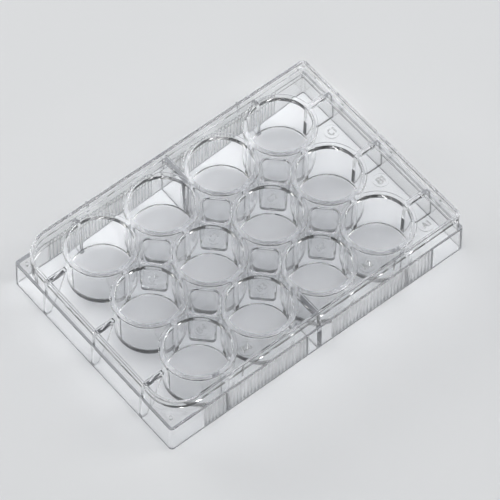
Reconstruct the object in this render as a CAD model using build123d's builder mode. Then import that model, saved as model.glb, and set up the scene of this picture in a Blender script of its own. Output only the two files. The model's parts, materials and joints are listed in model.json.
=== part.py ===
"""A 12-well culture plate, moulded as one piece in clear polystyrene.

The outside is a skirt with a narrow ledge, and a rail that stands on the ledge and locates a lid.
Inside the rail a thin deck carries twelve round wells, four columns by three rows.  Where four
wells meet, a square pocket stands between them with its own floor.  Thin ribs under the deck tie
the wells to the skirt.  +X runs along the columns 1 to 4, +Y from row C to row A, and +Z is up.
The origin lies on the table, under the middle of the footprint.
"""

import os
from math import cos, hypot, radians, sin, tan

from build123d import *

# ---- driving dimensions, in millimetres and degrees ----

# footprint, and the skirt that stands on it
footprint_length = 127.76
footprint_width = 85.48
skirt_height = 12.2
skirt_wall = 1.2
skirt_corner = 1.5
skirt_draft = 1.5

# rail above the ledge, with two large corners at the column 4 end
plate_height = 20.6
ledge_width_ends = 0.85
ledge_width_sides = 0.5
ledge_thickness = 1.3
rail_wall = 1.2
rail_draft = 0.8
rail_corner_large = 11.5
rail_corner_small = 2.0
inner_corner = 0.8
rail_edge = 0.3
ledge_edge = 0.25

# wells
columns = 4
rows = 3
pitch = 26.0
gap_between_wells = 3.3
well_lean = 0.35
well_wall = 1.15
well_floor_fillet = 0.8
floor_underside = 1.0
floor_thickness = 1.2
rim_width = 1.8
rim_drop = 1.4
rim_edge = 0.35

# deck, below the top of the rail
deck_drop = 2.7
deck_thickness = 1.3

# square pockets between four wells, turned 45 degrees, wider and rounder at the deck than at the floor
pocket_clearance = 1.035
pocket_lean = 0.5
pocket_deck_corner = 2.4
pocket_floor_corner = 0.9
pocket_wall = 0.8
pocket_lift = 1.1

# webs between neighbouring wells
web_width = 1.8

# ribs under the deck
side_rib_thickness = 1.5
middle_rib_thickness = 2.0
end_fin_thickness = 1.8
end_fin_bottom = 3.0
bar_height = 1.15
gusset_thickness = 1.6
gusset_clearance = 2.35
gusset_foot = 2.2
gusset_height = 0.8

# raised step on the deck at the column 1 end
end_step_width = 2.6
end_step_height = 1.0

# label pads, placed from the middle between four wells, or from the well itself in the top row
pad_radius = 2.8
pad_height = 0.2
pad_offset_x = 0.6
pad_offset_y = 0.2
top_row_pad_shift_y = 10.2

# small features on the rail and ledge
nub_radius = 0.5
nub_depth = 0.35
nub_lift = 2.6
nub_top_gap = 0.4
nub_position = 32.8
notch_width = 1.8
notch_depth = 0.9
notch_position = -1.7
pip_radius = 0.6
pip_height = 1.2
pip_inset_x = 3.1
pip_inset_y = 4.0

# grip grooves on the long sides of the skirt
grip_start = 5.0
grip_end = 50.0
grip_pitch = 1.5
grip_depth = 0.3
grip_groove_width = 0.9
grip_margin = 0.5


# ---- sizes worked out from them ----

half_length = footprint_length / 2
half_width = footprint_width / 2
skirt_lean = skirt_height * tan(radians(skirt_draft))
rail_foot_x = half_length - skirt_lean - ledge_width_ends
rail_foot_y = half_width - skirt_lean - ledge_width_sides
rail_inside_x = rail_foot_x - rail_wall
deck_top = plate_height - deck_drop
deck_underside = deck_top - deck_thickness
rim_height = plate_height - rim_drop
ledge_underside = skirt_height - ledge_thickness
floor_top = floor_underside + floor_thickness
bar_top = deck_top + bar_height
well_top_radius = (pitch - gap_between_wells) / 2
well_floor_radius = well_top_radius - well_lean
well_top_outside = well_top_radius + well_wall
well_floor_outside = well_floor_radius + well_wall
rim_radius = well_top_radius + rim_width
pocket_half_width = hypot(pitch, pitch) / 2 - well_top_outside - pocket_clearance
pocket_floor_top = floor_top + pocket_lift
pad_shift_x = pitch / 2 - pad_offset_x
pad_shift_y = pitch / 2 - pad_offset_y
first_column = -(columns - 1) * pitch / 2
last_column = -first_column
top_row = (rows - 1) * pitch / 2
row_places = [top_row - row * pitch for row in range(rows)]
column_places = [first_column + column * pitch for column in range(columns)]


def rail_outline(inset):
    """The plan of the rail, large corners at +X, drawn in from its foot by inset."""
    with BuildSketch() as outline:
        Rectangle(2 * (rail_foot_x - inset), 2 * (rail_foot_y - inset))
        large = max(rail_corner_large - inset, inner_corner)
        small = max(rail_corner_small - inset, inner_corner)
        fillet(outline.vertices().group_by(Axis.X)[-1], radius=large)
        fillet(outline.vertices().group_by(Axis.X)[0], radius=small)
    return outline.sketch


def pocket_outline(height, half, corner):
    """A square with rounded corners at a height, turned so that its corners lie on the X and Y axes."""
    with BuildSketch(Plane.XY.offset(height)) as outline:
        RectangleRounded(2 * half, 2 * half, corner, rotation=45)
    return outline.sketch


# ---- the outer envelope: drafted skirt below the ledge, drafted rail above it ----

with BuildPart() as envelope:
    with BuildSketch():
        RectangleRounded(footprint_length, footprint_width, skirt_corner)
    extrude(amount=skirt_height, taper=skirt_draft)
    fillet(envelope.faces().sort_by(Axis.Z)[-1].edges(), radius=ledge_edge)
    with BuildSketch(Plane.XY.offset(skirt_height)):
        add(rail_outline(0))
    extrude(amount=plate_height - skirt_height, taper=rail_draft)

# ---- the hollow under the deck, up to the ledge and then on inside the rail ----

with BuildPart() as underside:
    with BuildSketch():
        RectangleRounded(footprint_length - 2 * skirt_wall, footprint_width - 2 * skirt_wall, inner_corner)
    extrude(amount=ledge_underside, taper=skirt_draft)
    with BuildSketch(Plane.XY.offset(ledge_underside)):
        add(rail_outline(rail_wall))
    extrude(amount=deck_underside - ledge_underside)

# ---- the recess above the deck ----

with BuildPart() as recess:
    with BuildSketch(Plane.XY.offset(deck_top)):
        add(rail_outline(rail_wall))
    extrude(amount=plate_height - deck_top)

# ---- one well: a drafted cup with a raised rim, and the space inside it with a rounded lip ----

with BuildPart() as well_blank:
    with BuildSketch(Plane.XZ):
        with BuildLine():
            Polyline(
                (0, floor_underside),
                (well_floor_outside, floor_underside),
                (well_top_outside, deck_underside),
                (rim_radius, deck_underside),
                (rim_radius, rim_height),
                (0, rim_height),
                close=True,
            )
        make_face()
    revolve(axis=Axis.Z)
    fillet(well_blank.edges().filter_by(GeomType.CIRCLE).sort_by(Axis.Z)[-1], radius=rim_edge)

with BuildPart() as well_space:
    with BuildSketch(Plane.XZ) as well_section:
        with BuildLine():
            Polyline(
                (0, rim_height),
                (0, floor_top),
                (well_floor_radius, floor_top),
                (well_top_radius, rim_height - rim_edge),
            )
            lip = CenterArc((well_top_radius + rim_edge, rim_height - rim_edge), rim_edge, 180, -90)
            Line(lip @ 1, (0, rim_height))
        make_face()
        fillet(well_section.vertices().group_by(Axis.Y)[0].sort_by(Axis.X)[-1], radius=well_floor_fillet)
    revolve(axis=Axis.Z)

# ---- one pocket: a square cup between four wells, hung from the deck, and the space inside it ----

pocket_floor_half = pocket_half_width - pocket_lean

with BuildPart() as pocket_blank:
    add(pocket_outline(pocket_floor_top - floor_thickness, pocket_floor_half + pocket_wall,
                       pocket_floor_corner + pocket_wall))
    add(pocket_outline(deck_top, pocket_half_width + pocket_wall, pocket_deck_corner + pocket_wall))
    loft(ruled=True)

with BuildPart() as pocket_space:
    add(pocket_outline(pocket_floor_top, pocket_floor_half, pocket_floor_corner))
    add(pocket_outline(deck_top, pocket_half_width, pocket_deck_corner))
    loft(ruled=True)

# ---- ribs, fins and gussets, cut to the envelope at the end ----

with BuildPart() as ribs:
    # ribs on the long sides: at the two outer columns, and a thicker one in the middle
    with Locations((first_column, 0), (last_column, 0)):
        Box(side_rib_thickness, footprint_width, deck_top, align=(Align.CENTER, Align.CENTER, Align.MIN))
    Box(middle_rib_thickness, footprint_width, bar_top, align=(Align.CENTER, Align.CENTER, Align.MIN))
    inner_span = 2 * (top_row + well_floor_radius)
    middle_span = 2 * (top_row + web_width)
    with Locations((first_column, 0), (last_column, 0)):
        Box(side_rib_thickness, inner_span, deck_top, mode=Mode.SUBTRACT,
            align=(Align.CENTER, Align.CENTER, Align.MIN))
    Box(middle_rib_thickness, middle_span, bar_top, mode=Mode.SUBTRACT,
        align=(Align.CENTER, Align.CENTER, Align.MIN))

    # fins at the column 1 end, from each well to the end wall
    fin_start = first_column - well_floor_radius
    with Locations(*[(fin_start, y, end_fin_bottom) for y in row_places]):
        Box(half_length + fin_start, end_fin_thickness, bar_top - end_fin_bottom,
            align=(Align.MAX, Align.CENTER, Align.MIN))

    # gussets at the column 4 end, leaning away from the wells
    gusset_tip = last_column + well_top_outside + gusset_clearance
    gusset_foot_x = half_length - skirt_wall - gusset_foot
    for y in row_places:
        with BuildSketch(Plane.XZ.offset(-y)):
            with BuildLine():
                Polyline(
                    (gusset_foot_x, 0),
                    (half_length, 0),
                    (half_length, deck_top + gusset_height),
                    (gusset_tip, deck_top + gusset_height),
                    close=True,
                )
            make_face()
        extrude(amount=gusset_thickness / 2, both=True)

    # raised step on the deck at the column 1 end
    with Locations((-rail_inside_x, 0, deck_top)):
        Box(2 * end_step_width, footprint_width, end_step_height,
            align=(Align.CENTER, Align.CENTER, Align.MIN))
    add(envelope.part, mode=Mode.INTERSECT)

# ---- webs where two wells stand side by side ----

with BuildPart() as webs:
    web_height = deck_top - floor_underside
    web_length = pitch - 2 * well_floor_radius
    with Locations((0, 0, floor_underside)):
        with GridLocations(pitch, pitch, columns - 1, rows):
            Box(web_length, web_width, web_height, align=(Align.CENTER, Align.CENTER, Align.MIN))
        with GridLocations(pitch, pitch, columns, rows - 1):
            Box(web_width, web_length, web_height, align=(Align.CENTER, Align.CENTER, Align.MIN))

# ---- grip grooves: one long side, laid along the drafted face, then mirrored ----

face_length = skirt_height / cos(radians(skirt_draft))
grip_count = round((grip_end - grip_start) / grip_pitch)
grip_plane = Plane(
    origin=(0, half_width, 0),
    x_dir=(1, 0, 0),
    z_dir=(0, -sin(radians(skirt_draft)), cos(radians(skirt_draft))),
)

with BuildPart() as grips:
    with BuildSketch(grip_plane.offset(grip_margin)):
        middle = (grip_start + grip_end) / 2
        for side in (-1, 1):
            with Locations((side * middle, 0)):
                with GridLocations(grip_pitch, 1, grip_count, 1):
                    half_groove = grip_groove_width / 2
                    Polygon((-half_groove, grip_depth), (half_groove, grip_depth),
                            (half_groove, 0), (0, -grip_depth), (-half_groove, 0), align=None)
    extrude(amount=face_length - 2 * grip_margin)
    mirror(about=Plane.XZ)

# ---- label pads, one beside each well but the one that the middle rib leaves no room for ----

clear_of_rib = pad_radius + middle_rib_thickness / 2
top_row_pads = [x - pad_shift_x for x in column_places if abs(x - pad_shift_x) > clear_of_rib]
deck_pads = [(first_column - pad_shift_x, y + pad_shift_y, deck_top) for y in row_places[1:]]
deck_pads += [(x, top_row + top_row_pad_shift_y, deck_top) for x in top_row_pads]

# ---- the plate ----

with BuildPart() as well_plate:
    add(envelope.part)
    add(underside.part, mode=Mode.SUBTRACT)
    add(recess.part, mode=Mode.SUBTRACT)
    fillet(well_plate.edges().group_by(Axis.Z)[-1], radius=rail_edge)
    add(ribs.part)
    add(webs.part)
    with GridLocations(pitch, pitch, columns, rows):
        add(well_blank.part)
    with GridLocations(pitch, pitch, columns - 1, rows - 1):
        add(pocket_blank.part)
    with GridLocations(pitch, pitch, columns, rows):
        add(well_space.part, mode=Mode.SUBTRACT)
    with GridLocations(pitch, pitch, columns - 1, rows - 1):
        add(pocket_space.part, mode=Mode.SUBTRACT)
        with Locations((pad_offset_x, -pad_offset_y, pocket_floor_top)):
            Cylinder(pad_radius, pad_height, align=(Align.CENTER, Align.CENTER, Align.MIN))
    with Locations(*deck_pads):
        Cylinder(pad_radius, pad_height, align=(Align.CENTER, Align.CENTER, Align.MIN))

    # nubs that steady the lid, on the outside of both long rails
    nub_y = rail_foot_y + nub_depth - nub_radius
    nub_height = plate_height - nub_top_gap - skirt_height - nub_lift
    with Locations((0, 0, skirt_height + nub_lift)):
        with GridLocations(2 * nub_position, 2 * nub_y, 2, 2):
            Cylinder(nub_radius, nub_height, align=(Align.CENTER, Align.CENTER, Align.MIN))

    # a notch in the rail at the column 1 end, and a pip on the ledge at each large corner
    with Locations((-rail_foot_x, notch_position, plate_height - notch_depth)):
        Box(4 * rail_wall, notch_width, 2 * notch_depth, mode=Mode.SUBTRACT,
            align=(Align.CENTER, Align.CENTER, Align.MIN))
    pip_x = half_length - pip_inset_x
    pip_y = half_width - pip_inset_y
    with Locations((pip_x, pip_y, skirt_height), (pip_x, -pip_y, skirt_height)):
        Cylinder(pip_radius, pip_height, align=(Align.CENTER, Align.CENTER, Align.MIN))
    add(grips.part, mode=Mode.SUBTRACT)

well_plate.part.label = "well_plate"
os.makedirs("parts", exist_ok=True)
export_step(well_plate.part, "parts/well_plate.step")
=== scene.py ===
# %% [markdown]
# # A 12-well culture plate in clear polystyrene
#
# The plate is one injection moulding.  Its shape is all in the CAD node, so this lesson is about
# what makes clear plastic look real: smooth surfaces that bend light cleanly, a material with the
# right refractive index, small raised characters, and a studio that gives the edges something
# dark and something bright to show.  Everything is in metres, in the frame of the CAD model.

# %% Load the frame
import json
import math

import bpy
import numpy as np
from mathutils import Matrix, Vector


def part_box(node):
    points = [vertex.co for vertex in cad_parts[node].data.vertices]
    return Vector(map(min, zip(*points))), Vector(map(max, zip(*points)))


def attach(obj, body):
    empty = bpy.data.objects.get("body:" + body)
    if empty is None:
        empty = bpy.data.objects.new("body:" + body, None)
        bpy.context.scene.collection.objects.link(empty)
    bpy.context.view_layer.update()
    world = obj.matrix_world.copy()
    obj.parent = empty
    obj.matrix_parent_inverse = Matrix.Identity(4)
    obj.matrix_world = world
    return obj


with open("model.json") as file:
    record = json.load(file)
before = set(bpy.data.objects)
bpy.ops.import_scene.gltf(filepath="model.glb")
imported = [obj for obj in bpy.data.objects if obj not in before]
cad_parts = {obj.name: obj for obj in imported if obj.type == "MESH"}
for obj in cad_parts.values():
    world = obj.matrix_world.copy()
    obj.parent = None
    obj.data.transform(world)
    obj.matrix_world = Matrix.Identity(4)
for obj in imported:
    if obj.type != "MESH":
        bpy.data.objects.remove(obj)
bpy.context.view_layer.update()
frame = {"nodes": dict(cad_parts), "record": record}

MM = 0.001
plate = frame["nodes"]["well_plate"]
low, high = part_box("well_plate")
print("plate size in mm:", [round((b - a) / MM, 2) for a, b in zip(low, high)])

# %% [markdown]
# ## Clear polystyrene
#
# Crystal polystyrene is almost colourless, glossy from the polished mould, and bends light more
# than glass does: its refractive index is 1.59.  A Principled shader with full transmission gives
# both the bending and the mirror-like gloss.  Lamps would see such a shell as solid and leave a
# black shadow, so for shadow rays alone the surface turns into a clear one that darkens where the
# light meets it at a grazing angle, as the walls of a real plate do.  A faint waviness in the
# normals stands for the flow of the melt, and keeps long walls from looking computed.


# %% The material of the moulding
REFRACTIVE_INDEX = 1.59
FLOW_SCALE = 90.0
FLOW_HEIGHT = 4e-6
SATIN_FLOW_HEIGHT = 2e-6
POLISHED = 0.015
FROSTED = 0.4
SATIN = 0.5
CLEAR_TINT = (0.985, 0.988, 0.99)
# The characters' grey tint is painted shade: it darkens the clear beads so that they read dark.
SATIN_PAINTED_SHADE = (0.5, 0.51, 0.52)
SHADOW_FACING = (0.96, 0.96, 0.965, 1)
SHADOW_GRAZING = (0.40, 0.41, 0.43, 1)


def clear_plastic(name, tint, roughness, wave_height):
    """Clear plastic: transmission 1, index 1.59, noise bump, and a see-through side for shadow rays."""
    material = bpy.data.materials.new(name)
    material.use_nodes = True
    nodes, links = material.node_tree.nodes, material.node_tree.links
    nodes.clear()
    output = nodes.new("ShaderNodeOutputMaterial")
    shader = nodes.new("ShaderNodeBsdfPrincipled")
    shader.inputs["Base Color"].default_value = (*tint, 1)
    shader.inputs["Roughness"].default_value = roughness
    shader.inputs["IOR"].default_value = REFRACTIVE_INDEX
    shader.inputs["Transmission Weight"].default_value = 1.0

    place = nodes.new("ShaderNodeTexCoord")
    flow = nodes.new("ShaderNodeTexNoise")
    flow.inputs["Scale"].default_value = FLOW_SCALE
    flow.inputs["Detail"].default_value = 2.0
    links.new(place.outputs["Object"], flow.inputs["Vector"])
    bump = nodes.new("ShaderNodeBump")
    bump.inputs["Strength"].default_value = 1.0
    bump.inputs["Distance"].default_value = wave_height
    links.new(flow.outputs["Fac"], bump.inputs["Height"])
    links.new(bump.outputs["Normal"], shader.inputs["Normal"])

    path = nodes.new("ShaderNodeLightPath")
    facing = nodes.new("ShaderNodeLayerWeight")
    facing.inputs["Blend"].default_value = 0.35
    shade = nodes.new("ShaderNodeMix")
    shade.data_type = "RGBA"
    shade.inputs["A"].default_value = SHADOW_FACING
    shade.inputs["B"].default_value = SHADOW_GRAZING
    links.new(facing.outputs["Facing"], shade.inputs["Factor"])
    clear = nodes.new("ShaderNodeBsdfTransparent")
    links.new(shade.outputs["Result"], clear.inputs["Color"])
    mix = nodes.new("ShaderNodeMixShader")
    links.new(path.outputs["Is Shadow Ray"], mix.inputs["Fac"])
    links.new(shader.outputs["BSDF"], mix.inputs[1])
    links.new(clear.outputs["BSDF"], mix.inputs[2])
    links.new(mix.outputs["Shader"], output.inputs["Surface"])
    return material


polystyrene = clear_plastic("clear_polystyrene_finish", CLEAR_TINT, POLISHED, FLOW_HEIGHT)
# The characters' material takes the grey tint, a painted shade over clear plastic.
satin = clear_plastic("satin_polystyrene_painted_shade", SATIN_PAINTED_SHADE, SATIN, SATIN_FLOW_HEIGHT)
for place in plate.material_slots:
    place.material = polystyrene
print("slots on the plate:", len(plate.material_slots))

# %% [markdown]
# Where the grain of the grips begins is a matter of place alone.  Five comparisons with the
# position give 1 inside and 0 outside, their product says that all five hold, and it mixes the two
# roughness values.

# %% Frosted grips
GRIP_FACE_Y = 41.9 * MM
GRIP_BOTTOM_Z = 0.5 * MM
GRIP_TOP_Z = 11.7 * MM
GRIP_START_X = 5 * MM
GRIP_END_X = 50 * MM


def maths(tree, operation, first, second=0.0):
    """The result of a math node; each operand is a socket or a number."""
    node = tree.nodes.new("ShaderNodeMath")
    node.operation = operation
    for socket, value in zip(node.inputs, (first, second)):
        if isinstance(value, bpy.types.NodeSocket):
            tree.links.new(value, socket)
        else:
            socket.default_value = value
    return node.outputs["Value"]


tree = polystyrene.node_tree
spot = tree.nodes.new("ShaderNodeTexCoord")
parts = tree.nodes.new("ShaderNodeSeparateXYZ")
tree.links.new(spot.outputs["Object"], parts.inputs["Vector"])
along = maths(tree, "ABSOLUTE", parts.outputs["X"])
across = maths(tree, "ABSOLUTE", parts.outputs["Y"])
grain = maths(tree, "GREATER_THAN", across, GRIP_FACE_Y)
for limit in (
    maths(tree, "GREATER_THAN", parts.outputs["Z"], GRIP_BOTTOM_Z),
    maths(tree, "LESS_THAN", parts.outputs["Z"], GRIP_TOP_Z),
    maths(tree, "GREATER_THAN", along, GRIP_START_X),
    maths(tree, "LESS_THAN", along, GRIP_END_X),
):
    grain = maths(tree, "MULTIPLY", grain, limit)
rough = tree.nodes.new("ShaderNodeMix")
rough.inputs["A"].default_value = POLISHED
rough.inputs["B"].default_value = FROSTED
tree.links.new(grain, rough.inputs["Factor"])
plastic_shader = next(node for node in tree.nodes if node.type == "BSDF_PRINCIPLED")
tree.links.new(rough.outputs["Result"], plastic_shader.inputs["Roughness"])
print("frosted from x =", GRIP_START_X / MM, "to", GRIP_END_X / MM, "mm, on both long sides")

# %% [markdown]
# ## Raised characters
#
# Every well has its grid name on a small round pad: a letter for the row and a number for the
# column.  In the mould the strokes are shallow round-bottomed grooves, so on the plate they stand
# up as half-round beads with a satin skin, greyed by a painted shade so that they read dark.  A text
# object would give flat-topped letters, so each stroke is worked out instead: a path of lines and
# arcs, and a half-round profile carried along it.


# %% Strokes of the characters, drawn on a grid one unit high
def bend(centre, radii, start, stop):
    """Points of an ellipse about centre: centre + radii * (cos, sin), from start to stop in degrees."""
    turn = np.radians(np.linspace(start, stop, 24))
    return np.column_stack([centre[0] + radii[0] * np.cos(turn), centre[1] + radii[1] * np.sin(turn)])


def joined(*runs):
    """One path from several runs of points, laid end to end."""
    return np.vstack([np.asarray(run, float) for run in runs])


STROKES = {
    "A": [[(0.02, 0), (0.36, 1)], [(0.36, 1), (0.70, 0)], [(0.14, 0.32), (0.58, 0.32)]],
    "B": [
        [(0, 0), (0, 1)],
        joined([(0, 1), (0.3, 1)], bend((0.3, 0.76), (0.24, 0.24), 90, -90), [(0, 0.52)]),
        joined([(0, 0.52), (0.33, 0.52)], bend((0.33, 0.26), (0.27, 0.26), 90, -90), [(0, 0)]),
    ],
    "C": [bend((0.37, 0.5), (0.37, 0.5), 48, 312)],
    "1": [[(0.0, 0.76), (0.24, 1)], [(0.24, 1), (0.24, 0)]],
    "2": [joined(bend((0.3, 0.71), (0.28, 0.29), 165, -35), [(0.02, 0)]), [(0.02, 0), (0.62, 0)]],
    "3": [
        bend((0.27, 0.76), (0.25, 0.24), 150, -90),
        bend((0.27, 0.26), (0.29, 0.26), 90, -150),
    ],
    "4": [[(0.48, 0), (0.48, 1)], [(0.48, 1), (0, 0.3)], [(0, 0.3), (0.68, 0.3)]],
}
print("characters:", "".join(STROKES), "- strokes:", sum(len(strokes) for strokes in STROKES.values()))

# %% [markdown]
# The bead is a grid of rings by profile points.  Near each end the rings shrink the way the
# outline of a circle does, down to one pole, so that every stroke is a closed shell.


# %% A half-round bead along a flat path
def bead(path, half_width, rise, sink, rings=26, around=9):
    """Closed bead.  Each ring is half an ellipse over a flat sole that lies sink below the pad, set
    square to the path and scaled by sqrt(d (2 - d)), where d is the distance to the nearer end in
    half widths, and 1 from there on."""
    path = np.asarray(path, float)
    run = np.concatenate([[0], np.cumsum(np.hypot(*np.diff(path, axis=0).T))])
    along = run[-1] * (1 - np.cos(np.linspace(0, np.pi, rings))) / 2
    spine = np.column_stack([np.interp(along, run, path[:, k]) for k in (0, 1)])
    ahead = np.gradient(spine, along, axis=0)
    ahead /= np.hypot(*ahead.T)[:, None]
    near = np.clip(np.minimum(along, run[-1] - along) / half_width, 0, 1)
    scale = np.sqrt(near * (2 - near))

    turn = np.linspace(0, np.pi, around)
    across = np.concatenate([half_width * np.cos(turn), [-half_width, half_width]])
    height = np.concatenate([rise * np.sin(turn) + sink, [0, 0]])
    side = np.column_stack([-ahead[:, 1], ahead[:, 0]])
    flat = spine[:, None, :] + (scale[:, None] * across)[:, :, None] * side[:, None, :]
    lift = scale[:, None] * height - sink
    grid = np.dstack([flat, lift])[1:-1]

    poles = np.column_stack([spine[[0, -1]], [-sink, -sink]])
    points = np.vstack([grid.reshape(-1, 3), poles])
    count, wide = grid.shape[:2]
    number = np.arange(count * wide).reshape(count, wide)
    after = np.roll(number, -1, axis=1)
    quads = np.stack([number[:-1], number[1:], after[1:], after[:-1]], axis=-1).reshape(-1, 4)
    first, last = count * wide, count * wide + 1
    fans = [(first, a, b) for a, b in zip(number[0], after[0])]
    fans += [(last, b, a) for a, b in zip(number[-1], after[-1])]
    return points, [tuple(q) for q in quads.tolist()] + [tuple(int(v) for v in fan) for fan in fans]


# %% [markdown]
# The names read from the side of row A, with column 4 at the reader's left hand, so a character's
# right is the plate's -X and its top is -Y.  Well centres come from the record's openings.  The
# pads of rows B and C lie in the pockets, except column 1's, which like row A's are on the deck.
# Well A3 has no pad, because a rib takes its place.

# %% The label piece
LETTER_HEIGHT = 2.4 * MM
LETTER_GAP = 0.42 * MM
BEAD_HALF_WIDTH = 0.24 * MM
BEAD_RISE = 0.26 * MM
BEAD_SINK = 0.03 * MM
PAD_SHIFT_X = 12.4 * MM
PAD_SHIFT_Y = 12.8 * MM
TOP_ROW_PAD_SHIFT_Y = 10.2 * MM

wells = {
    opening["name"][-2:]: np.mean(opening["box_m"], axis=0)
    for opening in frame["record"]["physics"]["openings"]
    if opening["name"].startswith("well_")
}


def pad_of(name):
    """Pad centre, just short of half a pitch along -X and +Y, and its top, where a plumb line lands."""
    x = wells[name][0] - PAD_SHIFT_X
    y = wells[name][1] + (TOP_ROW_PAD_SHIFT_Y if name[0] == "A" else PAD_SHIFT_Y)
    landed, place, _, _ = plate.ray_cast((x, y, high.z + MM), (0, 0, -1))
    assert landed, name
    return x, y, place.z


points, faces = [], []
for name in sorted(wells):
    if name == "A3":
        continue
    x, y, top = pad_of(name)
    print(name, "pad top at", round(top / MM, 2), "mm")
    widths = [max(np.max(np.asarray(s)[:, 0]) for s in STROKES[sign]) * LETTER_HEIGHT for sign in name]
    start = -(sum(widths) + LETTER_GAP) / 2
    for sign, width in zip(name, widths):
        for stroke in STROKES[sign]:
            path = np.asarray(stroke) * LETTER_HEIGHT + (start, -LETTER_HEIGHT / 2)
            shell, sides = bead(path, BEAD_HALF_WIDTH, BEAD_RISE, BEAD_SINK)
            base = sum(len(block) for block in points)
            points.append(shell * (-1, -1, 1) + (x, y, top))
            faces += [tuple(base + v for v in side) for side in sides]
        start += width + LETTER_GAP

label_mesh = bpy.data.meshes.new("well_labels")
label_mesh.from_pydata(np.vstack(points).tolist(), [], faces)
label_mesh.shade_smooth()
labels = bpy.data.objects.new("well_labels", label_mesh)
bpy.context.scene.collection.objects.link(labels)
# The characters get the rough material with its painted grey shade.
label_mesh.materials.append(satin)
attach(labels, "root")
print("label faces:", len(label_mesh.polygons))

# %% [markdown]
# ## The floor and the background
#
# A pale sheet that runs far past the plate, so that every ray through the plastic ends on it.  The
# lamps are small and near, so the sheet would fall off to grey in the distance.  There a glow that
# only camera, glossy and transmission rays see keeps it pale, and adds no light to the plate.

# %% Floor
FLOOR_REACH = 6.0
PAPER = (0.70, 0.71, 0.72, 1)
GLOW_START = 0.3
GLOW_FULL = 2.2
GLOW_STRENGTH = 0.62

floor_z = low.z
floor_mesh = bpy.data.meshes.new("floor")
reach = FLOOR_REACH
floor_mesh.from_pydata(
    [(-reach, -reach, floor_z), (reach, -reach, floor_z), (reach, reach, floor_z), (-reach, reach, floor_z)],
    [],
    [(0, 1, 2, 3)],
)
floor = bpy.data.objects.new("floor", floor_mesh)
bpy.context.scene.collection.objects.link(floor)
paper = bpy.data.materials.new("pale_paper")
paper.use_nodes = True
paper_shader = paper.node_tree.nodes["Principled BSDF"]
paper_shader.inputs["Base Color"].default_value = PAPER
paper_shader.inputs["Roughness"].default_value = 0.85


def seen_directly(tree):
    """1 for camera, glossy and transmission rays, and 0 for the rays that carry light to diffuse skin."""
    path = tree.nodes.new("ShaderNodeLightPath")
    total = maths(tree, "MAXIMUM", path.outputs["Is Camera Ray"], path.outputs["Is Glossy Ray"])
    return maths(tree, "MAXIMUM", total, path.outputs["Is Transmission Ray"])


tree = paper.node_tree
spot = tree.nodes.new("ShaderNodeTexCoord")
distance_out = tree.nodes.new("ShaderNodeVectorMath")
distance_out.operation = "LENGTH"
tree.links.new(spot.outputs["Object"], distance_out.inputs[0])
far = tree.nodes.new("ShaderNodeMapRange")
far.interpolation_type = "SMOOTHSTEP"
far.inputs["From Min"].default_value = GLOW_START
far.inputs["From Max"].default_value = GLOW_FULL
far.inputs["To Max"].default_value = GLOW_STRENGTH
tree.links.new(distance_out.outputs["Value"], far.inputs["Value"])
glow = maths(tree, "MULTIPLY", far.outputs["Result"], seen_directly(tree))
tree.links.new(glow, paper_shader.inputs["Emission Strength"])
paper_shader.inputs["Emission Color"].default_value = (1, 1, 1, 1)
floor_mesh.materials.append(paper)
print("floor at z =", round(floor_z / MM, 3), "mm")

# %% [markdown]
# ## Light
#
# A large soft panel overhead lights the paper evenly.  It is hidden from mirrored rays, or the flat
# deck would turn white from above, and from refracted ones, because its light already reaches the
# paper under the plate along the shadow rays and would be counted twice.  A panel at the left, a
# low one behind and a strip in front draw bright lines along the rims.  The room around them is
# dim, and that is what the edges of the moulding turn dark against.  Only near the horizon does it
# brighten to meet the paper.


# %% Lamps and world
DIM_ROOM = (0.05, 0.051, 0.053, 1)
PALE_HORIZON = (0.68, 0.685, 0.69, 1)
HORIZON_RISE = 0.12
MIDDLE = (0, 0, 0)


def panel(name, place, target, width, height, watts):
    """A rectangular area lamp at place that faces target."""
    lamp = bpy.data.lights.new(name, "AREA")
    lamp.shape = "RECTANGLE"
    lamp.size = width
    lamp.size_y = height
    lamp.energy = watts
    holder = bpy.data.objects.new(name, lamp)
    holder.location = place
    holder.rotation_euler = (Vector(target) - Vector(place)).to_track_quat("-Z", "Y").to_euler()
    bpy.context.scene.collection.objects.link(holder)
    return holder


overhead = panel("overhead_panel", (0.05, 0.05, 1.15), MIDDLE, 0.8, 0.8, 7.2)
overhead.visible_glossy = False
overhead.visible_transmission = False
panel("front_strip", (0.55, 0.75, 0.5), MIDDLE, 0.6, 0.12, 1.2)
panel("left_panel", (-0.9, 0.5, 0.7), MIDDLE, 0.5, 0.7, 6.5)
panel("back_panel", (0.25, -1.05, 0.4), MIDDLE, 0.8, 0.35, 8)

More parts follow.
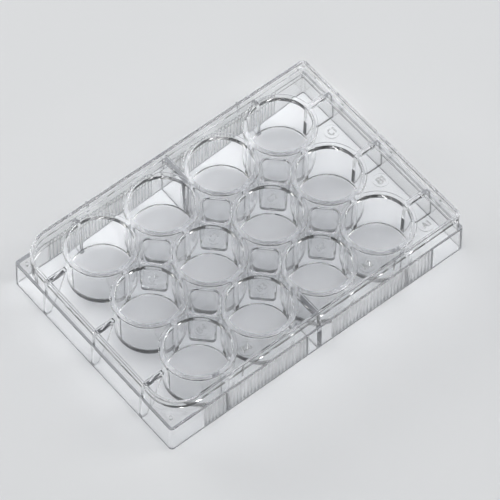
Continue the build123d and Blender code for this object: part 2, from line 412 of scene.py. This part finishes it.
world = bpy.data.worlds.new("room")
bpy.context.scene.world = world
world.use_nodes = True
room = world.node_tree
room.nodes["Background"].inputs["Strength"].default_value = 1.0
direction = room.nodes.new("ShaderNodeTexCoord")
heights = room.nodes.new("ShaderNodeSeparateXYZ")
room.links.new(direction.outputs["Generated"], heights.inputs["Vector"])
low_down = room.nodes.new("ShaderNodeMapRange")
low_down.interpolation_type = "SMOOTHSTEP"
low_down.inputs["From Min"].default_value = HORIZON_RISE
low_down.inputs["From Max"].default_value = 0.0
room.links.new(heights.outputs["Z"], low_down.inputs["Value"])
haze = room.nodes.new("ShaderNodeMix")
haze.data_type = "RGBA"
haze.inputs["A"].default_value = DIM_ROOM
haze.inputs["B"].default_value = PALE_HORIZON
pale_part = maths(room, "MULTIPLY", low_down.outputs["Result"], seen_directly(room))
room.links.new(pale_part, haze.inputs["Factor"])
room.links.new(haze.outputs["Result"], room.nodes["Background"].inputs["Color"])

# %% [markdown]
# ## Camera
#
# A long lens from high over the corner of well A4, which keeps the far edges nearly parallel.

# %% Camera
FOCAL_LENGTH = 263.9
azimuth, elevation, roll = math.radians(140.230), math.radians(56.693), math.radians(0.604)
distance = 1.24044
target = Vector((-2.243, 2.744, 10.0)) * MM
level = math.cos(elevation)
back = Vector((math.sin(azimuth) * level, -math.cos(azimuth) * level, math.sin(elevation)))
side = Vector((math.cos(azimuth), math.sin(azimuth), 0))
rise = back.cross(side)
right = math.cos(roll) * side + math.sin(roll) * rise
up = -math.sin(roll) * side + math.cos(roll) * rise
lens = bpy.data.cameras.new("camera")
lens.sensor_width = 36
lens.lens = FOCAL_LENGTH
camera = bpy.data.objects.new("camera", lens)
turned = Matrix((right, up, back)).transposed().to_4x4()
camera.matrix_world = Matrix.Translation(target + distance * back) @ turned
bpy.context.scene.collection.objects.link(camera)
bpy.context.scene.camera = camera
print("camera at", [round(v, 3) for v in camera.matrix_world.translation])

# %% [markdown]
# ## Light paths and the tone
#
# A ray that crosses the plate meets up to two dozen surfaces, so it is allowed that many bends.

# %% Paths
SURFACES_CROSSED = 24

cycles = bpy.context.scene.cycles
cycles.max_bounces = SURFACES_CROSSED
cycles.transmission_bounces = SURFACES_CROSSED
cycles.glossy_bounces = 12
cycles.transparent_max_bounces = 2 * SURFACES_CROSSED
bpy.context.scene.view_settings.view_transform = "Standard"
